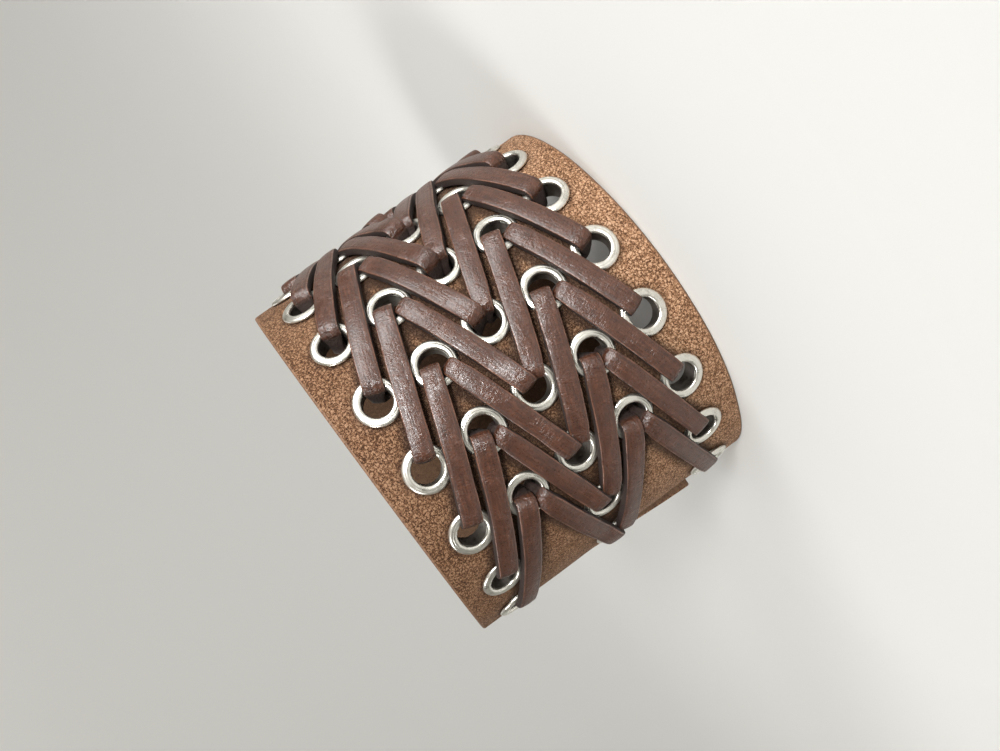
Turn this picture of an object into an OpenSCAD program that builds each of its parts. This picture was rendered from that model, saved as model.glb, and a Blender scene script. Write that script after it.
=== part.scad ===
// Wide leather cuff bracelet, laced in a double chevron through five rows of eyelets.
// Its opening runs along Z. The loop stands on its lower edge, and the laced side faces -Y.
// A place on the band is given as [along, up, out]: the way round the laced face from the
// first column of eyelets, the height above the lower edge, and the distance out of the leather.

/* [Band] */
// Width of the strip, which is the height of the standing cuff
band_w = 50; // [47:1:60]
// Thickness of the leather
leather_t = 2.2; // [1.8:0.1:2.4]
// Radius to the outer face of the laced part
loop_r = 30; // [29:0.5:33]

/* [Closing tab] */
// Width of the tab that closes over the laced end
tab_w = 32.6; // [26:0.2:36]
// Direction of the tab's tip, from straight ahead
tab_tip_angle = -96; // [-103:1:-95]
// How far the tip is cut off square, turned towards the upper edge
tab_tip_slant = 10; // [0:1:15]
// Direction where the strip has narrowed to the tab
shoulder_angle = -150; // [-152:1:-145]
// Length over which it narrows
shoulder_l = 12; // [8:1:14]
// Direction of the laced end's edge, under the tab
laced_end_angle = -160; // [-165:1:-155]
// Gap between the tab and the laced end
layer_gap = 0.3; // [0.2:0.1:0.4]

/* [Eyelets] */
// Distance from one column of eyelets to the next
pitch = 11.1; // [11:0.1:11.3]
// Distance from one row of eyelets to the next
row_gap = 9.1; // [9:0.1:9.6]
// Direction of the first column that all the outer rows have
first_angle = 76.5; // [70:0.5:80]
// Number of eyelets in a row
row_count = 8; // [4:1:8]
// Radius of the hole through an eyelet
hole_r = 2.25; // [2.2:0.05:2.4]
// Radius of the flange on the outer face
flange_r = 3.3; // [3.1:0.1:3.6]
// Height of the outer flange above the leather
flange_h = 0.55; // [0.45:0.05:0.6]
// Wall of the barrel
barrel_wall = 0.3; // [0.25:0.05:0.4]

/* [Laces] */
// Width of the flat lace
lace_w = 3.1; // [2.6:0.1:3.2]
// Thickness of the lace
lace_t = 1.3; // [1:0.1:1.3]
// Length of the tail tucked away at each end of a lace
tail_l = 9; // [7:1:10]

/* [Snaps] */
// Radius of the cap on the outside
snap_cap_r = 6; // [5:0.5:6.5]
// Radius of the post through both layers
snap_post_r = 2; // [1.8:0.1:2.5]
// Direction of the two snaps
snap_angle = -125; // [-130:1:-120]
// Distance between the two snaps
snap_gap = 17; // [15:1:18]

/* [Hidden] */
$fn = 72;

// Rows from the top down: letter, place in rows from the middle, shift along the band
// that punching by hand left, and the first column
rows = [
    ["a", 2, -0.3, 0],
    ["b", 1, 0.1, -2],
    ["c", 0, -0.5, 0],
    ["d", -1, 0.5, -2],
    ["e", -2, 0.2, 0],
];

// Laces: row where each comes up, row where it dives, and the half of a shared hole
// that it takes there, where 1 is the upper half, -1 the lower and 0 the whole hole
laces = [
    ["ab", 1, 0, 1, 0],
    ["bc", 1, 2, -1, 1],
    ["cd", 3, 2, 1, -1],
    ["de", 3, 4, -1, 0],
];

function eyelet_name(row, i) = str("eyelet_", row[0], i + 1);

leather_colour = [0.47, 0.35, 0.25];
lace_colour = [0.27, 0.16, 0.13];
nickel_colour = [0.80, 0.79, 0.76];

// The strip is a spiral: its front half turns about the origin, and the two ends about
// a centre beside it, so that they lie one layer apart
step = leather_t + layer_gap;
quarter = 90;
ends_shift = step / 2;
laced_end_r = loop_r - ends_shift;
tab_r = loop_r + ends_shift;
past_tip = 10;
// The slope of the shoulder ends this little below the tab's edge
shoulder_step = 0.1;
tab_low = (band_w - tab_w) / 2;

// Pieces run this clear of each other, and the laces this clear of the flanges
fit_gap = 0.1;
seat_gap = 0.05;
over_gap = 0.3;
under_gap = 0.15;
// Cutting shapes run this far past the leather
cut_past = 1;
barrel_r = hole_r + barrel_wall;
bore_r = barrel_r + fit_gap;
spread_r = flange_r - 0.2;
spread_h = 0.45;
spread_rise = spread_r * spread_r / (2 * (loop_r - leather_t));
spread_top = -leather_t - spread_rise - seat_gap;
bore_depth = leather_t + 3 * cut_past;

// Heights of the lace's middle over the face and behind it, and the bends at the holes
over_h = flange_h + over_gap + lace_t / 2;
under_h = spread_top - spread_h - under_gap - lace_t / 2;
bend_r = 1;
// A lace in a hole: width, thickness and place from the hole's centre, alone or sharing
alone_w = 2.9;
alone_t = 1.2;
alone_in = 0.9;
shared_w = 1.7;
shared_t = 1;
shared_in = 0.7;
shared_side = 1.05;
// Length over which a lace spreads to its full width
spread_run = 2.2;
lace_bevel = 0.3;

snap_cap_h = 1.5;
snap_back_r = 4.5;
snap_back_h = 0.6;
snap_sink = snap_back_r * snap_back_r / (2 * (laced_end_r - leather_t)) + fit_gap;

// Where things are

function degrees(length, r) = length / r * 180 / PI;
// Direction in which the leather faces at a place along it. Past a quarter turn the strip
// is on the tab's wider arc.
function angle_at(along) =
    let (angle = first_angle - degrees(along, loop_r))
    angle > quarter
        ? quarter + (angle - quarter) * loop_r / tab_r
        : angle;
function shift_at(angle) = angle > quarter ? ends_shift : 0;
function row_up(row) = band_w / 2 + row[1] * row_gap;
function column_along(row, i) = (row[3] + i) * pitch + row[2];
function hole(row, i) = [column_along(row, i), row_up(row)];

// A point on the band, in the part's own frame
function on_band(p) =
    let (angle = angle_at(p[0]), shift = shift_at(angle), r = loop_r + shift + p[2])
    [r * sin(angle) - shift, -r * cos(angle), p[1]];

// A direction on the band at a place along it, in the part's own frame
function turn_to_band(along, d) =
    let (angle = angle_at(along))
    [
        -d[0] * cos(angle) + d[2] * sin(angle),
        -d[0] * sin(angle) - d[2] * cos(angle),
        d[1]
    ];

// Puts its children on the band, with their Z pointing out of the leather
module on_face(angle, up, r) {
    rotate([0, 0, angle - 90]) translate([r, 0, up]) rotate([0, 90, 0]) children();
}
module about_ends_centre() {
    translate([-ends_shift, 0, 0]) children();
}

// Puts its children at an eyelet's place
module at_hole(row, i) {
    angle = angle_at(column_along(row, i));
    shift = shift_at(angle);
    translate([-shift, 0, 0]) on_face(angle, row_up(row), loop_r + shift) children();
}

// The band

module strip_arc(r, from, to, low, high, t = leather_t) {
    rotate_extrude(angle = to - from, start = from - 90)
        translate([r - t, low]) square([t, high - low]);
}

// What is cut off beside the tab: a slope on each side, then straight on past the tip
module tab_sides() {
    for (side = [0, 1]) translate([0, 0, side * band_w]) mirror([0, 0, side]) {
        strip_arc(tab_r + cut_past, shoulder_angle, tab_tip_angle + past_tip,
            -cut_past, tab_low, leather_t + 2 * cut_past);
        rotate([0, 0, shoulder_angle - 90]) translate([tab_r - bore_depth, 0, 0])
            rotate([90, 0, 90]) linear_extrude(height = 2 * bore_depth)
                polygon([
                    [-shoulder_l, -cut_past], [-shoulder_l, 0],
                    [shoulder_step, tab_low - shoulder_step], [shoulder_step, -cut_past]
                ]);
    }
}

// Everything past the slanted end of the tab
module tip_cut() {
    rotate([0, 0, tab_tip_angle - 90]) translate([tab_r - 2 * step, 0, tab_low])
        rotate([tab_tip_slant, 0, 0]) translate([0, 0, -band_w])
            cube([4 * step, band_w / 2, 3 * band_w]);
}

module cuff_band() {
    color(leather_colour) difference() {
        union() {
            strip_arc(loop_r, -quarter, quarter, 0, band_w);
            about_ends_centre()
                strip_arc(laced_end_r, laced_end_angle, -quarter, 0, band_w);
            about_ends_centre() difference() {
                strip_arc(tab_r, quarter, 360 + tab_tip_angle + past_tip / 2, 0, band_w);
                tab_sides();
                tip_cut();
            }
        }
        for (row = rows) for (i = [0:row_count - 1])
            at_hole(row, i) translate([0, 0, cut_past - bore_depth])
                cylinder(r = bore_r, h = bore_depth);
        about_ends_centre() for (up = [-1, 1])
            on_face(snap_angle, band_w / 2 + up * snap_gap / 2, tab_r)
                translate([0, 0, cut_past - 2 * bore_depth])
                    cylinder(r = snap_post_r + fit_gap, h = 2 * bore_depth);
    }
}

// The eyelets

module eyelet_section() {
    lip = flange_h / 2;
    translate([hole_r, spread_top - spread_h])
        square([barrel_wall, seat_gap + lip - spread_top + spread_h]);
    translate([hole_r, spread_top - spread_h])
        square([spread_r - hole_r, spread_h]);
    for (x = [hole_r + lip, flange_r - lip])
        translate([x, seat_gap + lip]) circle(r = lip);
    translate([hole_r + lip, seat_gap])
        square([flange_r - hole_r - 2 * lip, flange_h]);
}

module eyelet(row, i) {
    color(nickel_colour) at_hole(row, i) rotate_extrude() eyelet_section();
}

// The laces. A station is [along, up, out, pitch, heading, width, thickness], where pitch
// turns on from 0 over the face, through -90 into a hole, to -180 behind the leather.

function station(at, out, tip, heading, w, t) = [at[0], at[1], out, tip, heading, w, t];

function heading_of(d) = atan2(d[1], d[0]);
function unit(heading) = [cos(heading), sin(heading)];

// Middle of the lace in a hole, on the hole's near or far side
function seat_in(centre, half, side, heading) =
    half == 0
        ? centre + side * alone_in * unit(heading)
        : centre + [side * shared_in, half * shared_side];
function hole_w(half) = half == 0 ? alone_w : shared_w;
function hole_t(half) = half == 0 ? alone_t : shared_t;

// One run between two holes, over the face or behind it
function run(from, to, from_half, to_half, heading, out, turned) =
    let (
        way = turned == 0 ? 1 : -1,
        d = way * unit(heading),
        inner = out - way * bend_r,
        slope = out - way * bend_r * (1 - sin(45)),
        eased = bend_r * (1 - cos(45)),
        length = norm(to - from),
        first = bend_r + spread_run,
        last = length - bend_r - spread_run,
        steps = turned == 0 ? 3 : 1
    )
    concat(
        [
            station(from, inner, turned + 90, heading, hole_w(from_half), hole_t(from_half)),
            station(from + eased * d, slope, turned + 45, heading,
                hole_w(from_half), hole_t(from_half)),
            station(from + bend_r * d, out, turned, heading,
                (hole_w(from_half) + lace_w) / 2, lace_t),
        ],
        [
            for (i = [0:steps])
                station(from + (first + (last - first) * i / steps) * d, out, turned,
                    heading, lace_w, lace_t)
        ],
        [
            station(to - bend_r * d, out, turned, heading,
                (hole_w(to_half) + lace_w) / 2, lace_t),
            station(to - eased * d, slope, turned - 45, heading,
                hole_w(to_half), hole_t(to_half)),
            station(to, inner, turned - 90, heading, hole_w(to_half), hole_t(to_half)),
        ]
    );

// A plain tail behind the leather, at the start or the end of a lace
function tail(at, half, heading, side) =
    [
        station(at, under_h + bend_r, -180 + side * 90, heading, hole_w(half), hole_t(half)),
        station(at + side * bend_r * (1 - cos(45)) * unit(heading),
            under_h + bend_r * (1 - sin(45)), -180 + side * 45, heading,
            hole_w(half), hole_t(half)),
        station(at + side * bend_r * unit(heading), under_h, -180, heading,
            (hole_w(half) + lace_w) / 2, lace_t),
        station(at + side * (bend_r + spread_run) * unit(heading), under_h, -180,
            heading, lace_w, lace_t),
        station(at + side * tail_l * unit(heading), under_h, -180, heading,
            lace_w, lace_t),
    ];
function backwards(list) = [for (i = [len(list) - 1:-1:0]) list[i]];

// The whole course of one lace, a list of stations
function course(lace) =
    let (
        up_row = rows[lace[1]],
        down_row = rows[lace[2]],
        up_half = lace[3],
        down_half = lace[4],
        over_heading = heading_of(hole(down_row, 0) - hole(up_row, 0)),
        rise = [for (i = [0:row_count - 1])
            seat_in(hole(up_row, i), up_half, 1, over_heading)],
        dive = [for (i = [0:row_count - 1])
            seat_in(hole(down_row, i), down_half, -1, over_heading)],
        over = heading_of(dive[0] - rise[0]),
        back_heading = heading_of(hole(down_row, 0) - hole(up_row, 1)),
        dive_low = [for (i = [0:row_count - 1])
            seat_in(hole(down_row, i), down_half, -1, back_heading)],
        under = heading_of(dive_low[0] - rise[1])
    )
    concat(
        backwards(tail(rise[0], up_half, under, 1)),
        [
            for (i = [0:row_count - 1])
                each concat(
                    run(rise[i], dive[i], up_half, down_half, over, over_h, 0),
                    i < row_count - 1
                        ? run(dive_low[i], rise[i + 1], down_half, up_half, under,
                            under_h, -180)
                        : tail(dive_low[i], down_half, under, -1)
                )
        ]
    );

// The eight corners of the lace at a station
function ring(s) =
    let (
        across = [-sin(s[4]), cos(s[4]), 0],
        face = [-sin(s[3]) * cos(s[4]), -sin(s[3]) * sin(s[4]), cos(s[3])],
        w = s[5] / 2,
        t = s[6] / 2,
        corners = [
            [w, t - lace_bevel], [w - lace_bevel, t],
            [lace_bevel - w, t], [-w, t - lace_bevel],
            [-w, lace_bevel - t], [lace_bevel - w, -t],
            [w - lace_bevel, -t], [w, lace_bevel - t]
        ],
        middle = on_band([s[0], s[1], s[2]])
    )
    [
        for (c = corners)
            middle + turn_to_band(s[0], c[0] * across + c[1] * face)
    ];

module lace(spec) {
    rings = [for (s = course(spec)) ring(s)];
    sides = len(rings[0]);
    last = len(rings) - 1;
    color(lace_colour) polyhedron(
        points = [for (r = rings) each r],
        faces = concat(
            [[for (j = [sides - 1:-1:0]) j]],
            [[for (j = [0:sides - 1]) last * sides + j]],
            [
                for (i = [0:last - 1]) for (j = [0:sides - 1])
                    let (
                        next = (j + 1) % sides,
                        here = i * sides,
                        there = here + sides
                    )
                    each [
                        [here + j, here + next, there + j],
                        [here + next, there + next, there + j]
                    ]
            ]
        ),
        convexity = 10
    );
}

// The snaps, each a cap, a post through both layers and a disc behind

module snap(up) {
    behind = -step - leather_t - snap_sink;
    side = snap_cap_h / 2;
    color(nickel_colour) about_ends_centre()
        on_face(snap_angle, up, tab_r) rotate_extrude() {
            translate([0, behind]) square([snap_post_r, fit_gap - behind]);
            translate([0, behind - snap_back_h]) square([snap_back_r, snap_back_h]);
            translate([0, fit_gap]) square([snap_cap_r, side]);
            translate([0, fit_gap + side]) square([snap_cap_r - side, side]);
            translate([snap_cap_r - side, fit_gap + side])
                intersection() {
                    circle(r = side);
                    square(snap_cap_h);
                }
        }
}
module snap_upper() { snap(band_w / 2 + snap_gap / 2); }
module snap_lower() { snap(band_w / 2 - snap_gap / 2); }

cuff_band();
for (row = rows) for (i = [0:row_count - 1])
    eyelet(row, i);
for (spec = laces)
    lace(spec);
snap_upper();
snap_lower();
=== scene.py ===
import math

import bpy
import numpy as np
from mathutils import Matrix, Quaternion, Vector


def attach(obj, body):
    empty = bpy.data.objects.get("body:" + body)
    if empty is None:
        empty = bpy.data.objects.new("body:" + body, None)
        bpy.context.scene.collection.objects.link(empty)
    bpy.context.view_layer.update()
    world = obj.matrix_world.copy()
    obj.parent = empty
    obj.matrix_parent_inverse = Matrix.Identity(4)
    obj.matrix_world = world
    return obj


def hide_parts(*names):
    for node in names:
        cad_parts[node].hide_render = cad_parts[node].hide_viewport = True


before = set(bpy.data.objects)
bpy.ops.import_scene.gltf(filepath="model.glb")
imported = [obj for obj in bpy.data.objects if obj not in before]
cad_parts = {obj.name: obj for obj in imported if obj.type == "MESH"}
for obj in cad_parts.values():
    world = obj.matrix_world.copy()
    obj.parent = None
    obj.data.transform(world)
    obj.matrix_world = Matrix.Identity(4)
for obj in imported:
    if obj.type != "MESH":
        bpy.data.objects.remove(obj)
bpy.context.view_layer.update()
mm = 0.001

# Camera, at the photograph's angle: it looks at the laced side, rolled so that the
# cuff's upper edge lies to the lower left
cameraView = {
    "place": (0.6 * mm, -178.5 * mm, 47.7 * mm),
    "aim": (0.2 * mm, -30.0 * mm, 27.9 * mm),
    "roll": -126.5,        # degrees
    "lens": 40.2,          # millimetres, for a sensor of the next width
    "sensorWidth": 36.0,
    "clipStart": 5.0 * mm,
}


def addObject(name, data):
    made = bpy.data.objects.new(name, data)
    bpy.context.scene.collection.objects.link(made)
    return made


def makeCamera(view):
    data = bpy.data.cameras.new("photoCamera")
    data.lens = view["lens"]
    data.sensor_width = view["sensorWidth"]
    data.clip_start = view["clipStart"]
    camera = addObject("photoCamera", data)
    place = Vector(view["place"])
    toAim = (Vector(view["aim"]) - place).normalized()
    turn = toAim.to_track_quat("-Z", "Y")
    roll = Quaternion(toAim, math.radians(-view["roll"]))
    camera.rotation_mode = "QUATERNION"
    camera.rotation_quaternion = roll @ turn
    camera.location = place
    bpy.context.scene.camera = camera


makeCamera(cameraView)
print("camera placed")


# Colours and material nodes

def linearColour(hexText):
    # sRGB hex to the linear values that the shaders take
    shares = [int(hexText[i:i + 2], 16) / 255 for i in (1, 3, 5)]
    linear = [c / 12.92 if c <= 0.04045 else ((c + 0.055) / 1.055) ** 2.4 for c in shares]
    return (*linear, 1.0)


def setInputs(tree, node, inputs):
    # Each input takes a fixed value, or the output of another node
    for name, given in inputs.items():
        if isinstance(given, bpy.types.NodeSocket):
            tree.links.new(given, node.inputs[name])
        else:
            node.inputs[name].default_value = given


def addNode(tree, kind, inputs=None, output=0, **settings):
    # One node with its settings and what goes into it. It gives back one of its outputs
    made = tree.nodes.new("ShaderNode" + kind)
    for name, value in settings.items():
        setattr(made, name, value)
    setInputs(tree, made, inputs or {})
    return made.outputs[output]


def setRamp(rampOutput, look):
    # From the finish's first tone to its last, each at its own place
    ramp = rampOutput.node.color_ramp
    while len(ramp.elements) < len(look["tones"]):
        ramp.elements.new(0.5)
    for element, place, tone in zip(ramp.elements, look["places"], look["tones"]):
        element.position = place
        element.color = linearColour(tone)


def perMetre(sizeMm):
    # Noise scale whose features are this many millimetres across
    return 1000.0 / sizeMm


def newMaterial(name, values):
    # What is the same all over the surface is set on the shader itself
    material = bpy.data.materials.new(name)
    material.use_nodes = True
    tree = material.node_tree
    tree.nodes.clear()
    surface = addNode(tree, "BsdfPrincipled", values)
    setInputs(tree, tree.nodes.new("ShaderNodeOutputMaterial"), {"Surface": surface})
    return material, tree, surface.node


# Each finish has its sizes and depths in millimetres
grainSide = {
    "tones": ("#382213", "#704e35", "#927258"),  # in the pits, between them and worn
    "places": (0.16, 0.48, 0.86),  # where those three lie in the shade
    "shade": (0.75, 2.25),         # darkest and palest sum of flecks, wrinkles and patches
    "paintedLightGain": (1.9, 2.05, 2.2),  # how much paler the painted light makes the hide
    "paintedLightShare": 0.72,             # painted light: this share of that at the lower edge, and none at the height below
    "paintedLightHeight": 50.0,
    # painted shade, laid beside and under the laces and round the eyelets
    "paintedShade": "#2b1b13",
    "fleckSize": 0.25,             # pores, drawn coarser than real so that they show
    "fleckShare": 1.4,             # how much they count in the shade
    "pebbleSize": 0.55,            # cells in the net of fine wrinkles
    "lineWidth": 0.2,              # of the wrinkles, as a share of a cell
    "pebbleShare": 0.85,
    "wanderSize": 0.32,            # how finely the wrinkles waver, and how far
    "wander": 0.9,
    "patchSize": 5.0,              # uneven dye
    "patchShare": 0.5,
    "roughness": (0.56, 0.76),
    "pitDepth": 0.09,
    "gloss": 0.18,
    "sheen": 0.08,
    "sheenTint": "#c9a98a",
}


def oilTannedCowhide(look):
    # Drum-dyed cowhide, waxed and buffed: the dye sits dark in the pits of the grain and
    # the worn hide between them is tan, so it is finely speckled and nearly matt. Towards
    # the edge it stands on it is painted paler, as painted light falling from that side, and
    # beside the laces and round the eyelets it is painted dark, as painted shade.
    material, tree, shader = newMaterial("oilTannedCowhide", {
        "Specular IOR Level": look["gloss"], "Sheen Weight": look["sheen"],
        "Sheen Roughness": 0.4, "Sheen Tint": linearColour(look["sheenTint"]),
    })
    place = addNode(tree, "TexCoord", output="Object")
    height = addNode(tree, "SeparateXYZ", {"Vector": place}, output="Z")
    slow = addNode(tree, "TexNoise", {
        "Vector": place, "Scale": perMetre(look["wanderSize"]), "Detail": 2.0, "Roughness": 0.6,
    }, output="Color")
    wander = addNode(tree, "VectorMath", {
        "Vector": slow, "Scale": look["wander"] * mm,
    }, operation="SCALE")
    bent = addNode(tree, "VectorMath", {0: place, 1: wander}, operation="ADD")
    toPit = addNode(tree, "TexVoronoi", {
        "Vector": bent, "Scale": perMetre(look["pebbleSize"]), "Randomness": 1.0,
    }, feature="DISTANCE_TO_EDGE")
    flecks = addNode(tree, "TexNoise", {
        "Vector": place, "Scale": perMetre(look["fleckSize"]), "Detail": 0.5, "Roughness": 0.5,
        "Distortion": 0.4,
    })
    patches = addNode(tree, "TexNoise", {
        "Vector": place, "Scale": perMetre(look["patchSize"]), "Detail": 3.0, "Roughness": 0.55,
    })
    raised = addNode(tree, "MapRange", {
        "Value": toPit, "From Min": 0.0, "From Max": look["lineWidth"],
        "To Max": look["pebbleShare"],
    })
    speckle = addNode(tree, "Math", {
        0: flecks, 1: look["fleckShare"], 2: raised,
    }, operation="MULTIPLY_ADD")
    tone = addNode(tree, "Math", {
        0: patches, 1: look["patchShare"], 2: speckle,
    }, operation="MULTIPLY_ADD")
    shade = addNode(tree, "MapRange", {
        "Value": tone, "From Min": look["shade"][0], "From Max": look["shade"][1],
    })
    hide = addNode(tree, "ValToRGB", {"Fac": shade})
    setRamp(hide, look)
    # Painted light: the hide is painted paler towards the lower edge, as if lit more from that
    # side
    paintedLightAmount = addNode(tree, "MapRange", {
        "Value": height, "From Min": 0.0, "From Max": look["paintedLightHeight"] * mm,
        "To Min": look["paintedLightShare"], "To Max": 0.0,
    }, interpolation_type="SMOOTHSTEP")
    withPaintedLight = addNode(tree, "Mix", {
        0: paintedLightAmount, 6: hide, 7: look["paintedLightGain"] + (1.0,),
    }, data_type="RGBA", blend_type="MULTIPLY", output=2)
    # Painted shade beside and under the laces and round the eyelets, where shade falls
    paintedShade = addNode(tree, "Attribute", attribute_name="paintedShade", output="Fac")
    coloured = addNode(tree, "Mix", {
        0: paintedShade, 6: withPaintedLight, 7: linearColour(look["paintedShade"]),
    }, data_type="RGBA", output=2)
    rough = addNode(tree, "MapRange", {
        "Value": patches, "From Min": 0.3, "From Max": 0.7, "To Min": look["roughness"][1],
        "To Max": look["roughness"][0],
    })
    bump = addNode(tree, "Bump", {
        "Height": speckle, "Strength": 0.8, "Distance": look["pitDepth"] * mm,
    })
    setInputs(tree, shader, {"Base Color": coloured, "Roughness": rough, "Normal": bump})
    return material


def fibrousLeather(name, look):
    material, tree, shader = newMaterial(name, look["finish"])
    place = addNode(tree, "TexCoord", output="Object")
    fibres = addNode(tree, "TexNoise", {
        "Vector": place, "Scale": perMetre(look["fibreSize"]), **look["noise"],
    })
    hide = addNode(tree, "ValToRGB", {"Fac": fibres})
    setRamp(hide, look)
    bump = addNode(tree, "Bump", {
        "Height": fibres, "Strength": look["relief"], "Distance": look["fibreDepth"] * mm,
    })
    setInputs(tree, shader, {"Base Color": hide, "Normal": bump})
    return material


fleshSide = {
    "tones": ("#3d2c20", "#5f4836"),
    "places": (0.32, 0.68),
    "fibreSize": 0.5,
    "noise": {"Detail": 5.0, "Roughness": 0.7, "Distortion": 1.2},
    "fibreDepth": 0.15,
    "relief": 0.7,
    "finish": {"Roughness": 0.94, "Specular IOR Level": 0.2},
}


def suedeFleshSide():
    # The split back of the hide, dyed through and left raw: short loose fibres, so dull.
    # They are drawn as tufts, far coarser than one fibre, so that they show.
    return fibrousLeather("suedeFleshSide", fleshSide)


cutEdge = {
    "tones": ("#573c29", "#876549"),
    "places": (0.35, 0.7),
    "fibreSize": 0.35,
    "noise": {"Detail": 4.0, "Roughness": 0.6},
    "fibreDepth": 0.06,
    "relief": 0.5,
    "finish": {"Roughness": 0.6},
}


def burnishedCutEdge():
    # Cut through the hide and rubbed with wax: tan as the hide is inside, a little
    # fibrous, with the bundles of fibre drawn coarser than real so that they show
    return fibrousLeather("burnishedCutEdge", cutEdge)


laceFinish = {
    "tones": ("#27140d", "#432517", "#5d3928"),  # in the pits, between them and worn
    "places": (0.15, 0.5, 0.85),  # where those three lie in the shade
    # top corners rubbed paler, with a painted highlight along them
    "rimRubAndHighlight": "#76513f",
    # cut sides dyed dark, and painted shade on the sides, underside and down in the holes
    "side": "#28170f",
    "shade": (0.55, 1.85),        # darkest and palest sum of creases, clouds and streaks
    "grainSize": 0.3,             # pores, drawn coarser than real so that they show
    "grainDepth": 0.05,
    "streakLength": 3.0,          # dye rubbed thin along the lace
    "streakGap": 0.3,
    "streakRelief": 0.7,          # how far they stand out beside the grain
    "cloudSize": 3.5,             # where it is creased more, and paler
    "cloudShare": 0.5,            # how much they count in the shade
    "creaseLength": 1.2,
    "creaseGap": 0.35,
    "creaseDepth": 0.12,
    "creaseShare": 0.9,
    "crinkleSize": (0.7, 1.54),   # puckers in the bends, along and across
    "crinkleDepth": 0.24,
    "roughness": (0.27, 0.37),
    "sideRoughness": 0.5,         # so much more on the cut sides
    "gloss": 0.66,
}


def glazedLaceLeather(look):
    # Calf lace, dyed and lightly glazed: a soft gloss broken by pitted grain, with short
    # creases where it was drawn through the holes. Its cut sides took the dye darkest and carry
    # painted shade too, as do its underside, the edges of its top and the part down in the
    # holes;
    # its top corners are rubbed paler and carry a painted highlight.
    material, tree, shader = newMaterial(
        "glazedLaceLeather", {"Specular IOR Level": look["gloss"]})
    place = addNode(tree, "TexCoord", output="Object")
    flat = addNode(tree, "UVMap", uv_map="laceMap")

    def stretched(alongSize, acrossSize):
        return addNode(tree, "Mapping", {
            "Vector": flat, "Scale": (1 / alongSize, 1 / acrossSize, 1.0),
        })

    grain = addNode(tree, "TexNoise", {
        "Vector": place, "Scale": perMetre(look["grainSize"]), "Detail": 2.0, "Roughness": 0.55,
    })
    streaks = addNode(tree, "TexNoise", {
        "Vector": stretched(look["streakLength"], look["streakGap"]), "Scale": 1.0,
        "Detail": 2.0, "Distortion": 0.4,
    })
    clouds = addNode(tree, "TexNoise", {
        "Vector": place, "Scale": perMetre(look["cloudSize"]), "Detail": 3.0, "Roughness": 0.6,
    })
    creases = addNode(tree, "TexNoise", {
        "Vector": stretched(look["creaseGap"], look["creaseLength"]), "Scale": 1.0,
        "Detail": 2.0, "Roughness": 0.5, "Distortion": 1.6,
    })
    creasing = addNode(tree, "MapRange", {
        "Value": clouds, "From Min": 0.48, "From Max": 0.62, "To Min": 0.15, "To Max": 1.0,
    })
    shownCreases = addNode(tree, "Math", {0: creases, 1: creasing}, operation="MULTIPLY")
    surface = addNode(tree, "Math", {
        0: streaks, 1: look["streakRelief"], 2: grain,
    }, operation="MULTIPLY_ADD")
    clouded = addNode(tree, "Math", {
        0: clouds, 1: look["cloudShare"], 2: streaks,
    }, operation="MULTIPLY_ADD")
    tone = addNode(tree, "Math", {
        0: creases, 1: look["creaseShare"], 2: clouded,
    }, operation="MULTIPLY_ADD")
    shade = addNode(tree, "MapRange", {
        "Value": tone, "From Min": look["shade"][0], "From Max": look["shade"][1],
    })
    hide = addNode(tree, "ValToRGB", {"Fac": shade})
    setRamp(hide, look)
    paintedShadeAndRim = addNode(tree, "Attribute", attribute_name="paintedShadeAndRim", output="Fac")
    # The top corners are rubbed paler and painted lighter as a highlight, broken up along the
    # streaks
    unevenRub = addNode(tree, "MapRange", {
        "Value": streaks, "From Min": 0.42, "From Max": 0.62, "To Min": 0.1, "To Max": 1.0,
    })
    rimRubAndHighlightShare = addNode(tree, "Math", {
        0: paintedShadeAndRim, 1: unevenRub,
    }, operation="MULTIPLY", use_clamp=True)
    withRimRubAndHighlight = addNode(tree, "Mix", {
        0: rimRubAndHighlightShare, 6: hide, 7: linearColour(look["rimRubAndHighlight"]),
    }, data_type="RGBA", output=2)
    # Painted shade: below 0 the sides, underside, top edges and the part in the holes are
    # painted dark
    paintedShadeMask = addNode(tree, "MapRange", {"Value": paintedShadeAndRim, "From Min": 0.0, "From Max": -1.0})
    withPaintedShade = addNode(tree, "Mix", {
        0: paintedShadeMask, 6: withRimRubAndHighlight, 7: linearColour(look["side"]),
    }, data_type="RGBA", output=2)
    glazed = addNode(tree, "MapRange", {
        "Value": grain, "From Min": 0.35, "From Max": 0.65, "To Min": look["roughness"][0],
        "To Max": look["roughness"][1],
    })
    rough = addNode(tree, "Math", {
        0: paintedShadeMask, 1: look["sideRoughness"], 2: glazed,
    }, operation="MULTIPLY_ADD")
    fine = addNode(tree, "Bump", {
        "Height": surface, "Strength": 0.8, "Distance": look["grainDepth"] * mm,
    })
    creased = addNode(tree, "Bump", {
        "Height": shownCreases, "Normal": fine, "Strength": 0.9,
        "Distance": look["creaseDepth"] * mm,
    })
    crinkles = addNode(tree, "TexNoise", {
        "Vector": stretched(*look["crinkleSize"]), "Scale": 1.0, "Detail": 3.0,
        "Roughness": 0.6, "Distortion": 1.2,
    })
    bending = addNode(tree, "Attribute", attribute_name="bending", output="Fac")
    crinkled = addNode(tree, "Math", {0: crinkles, 1: bending}, operation="MULTIPLY")
    puckered = addNode(tree, "Bump", {
        "Height": crinkled, "Normal": creased, "Strength": 0.9,
        "Distance": look["crinkleDepth"] * mm,
    })
    setInputs(tree, shader, {"Base Color": withPaintedShade, "Roughness": rough, "Normal": puckered})
    return material


nickelFinish = {"tones": ("#cfccc2", "#e6e3da"), "places": (0.3, 0.5),
                "roughness": (0.24, 0.38), "scuffSize": 1.4}


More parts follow.
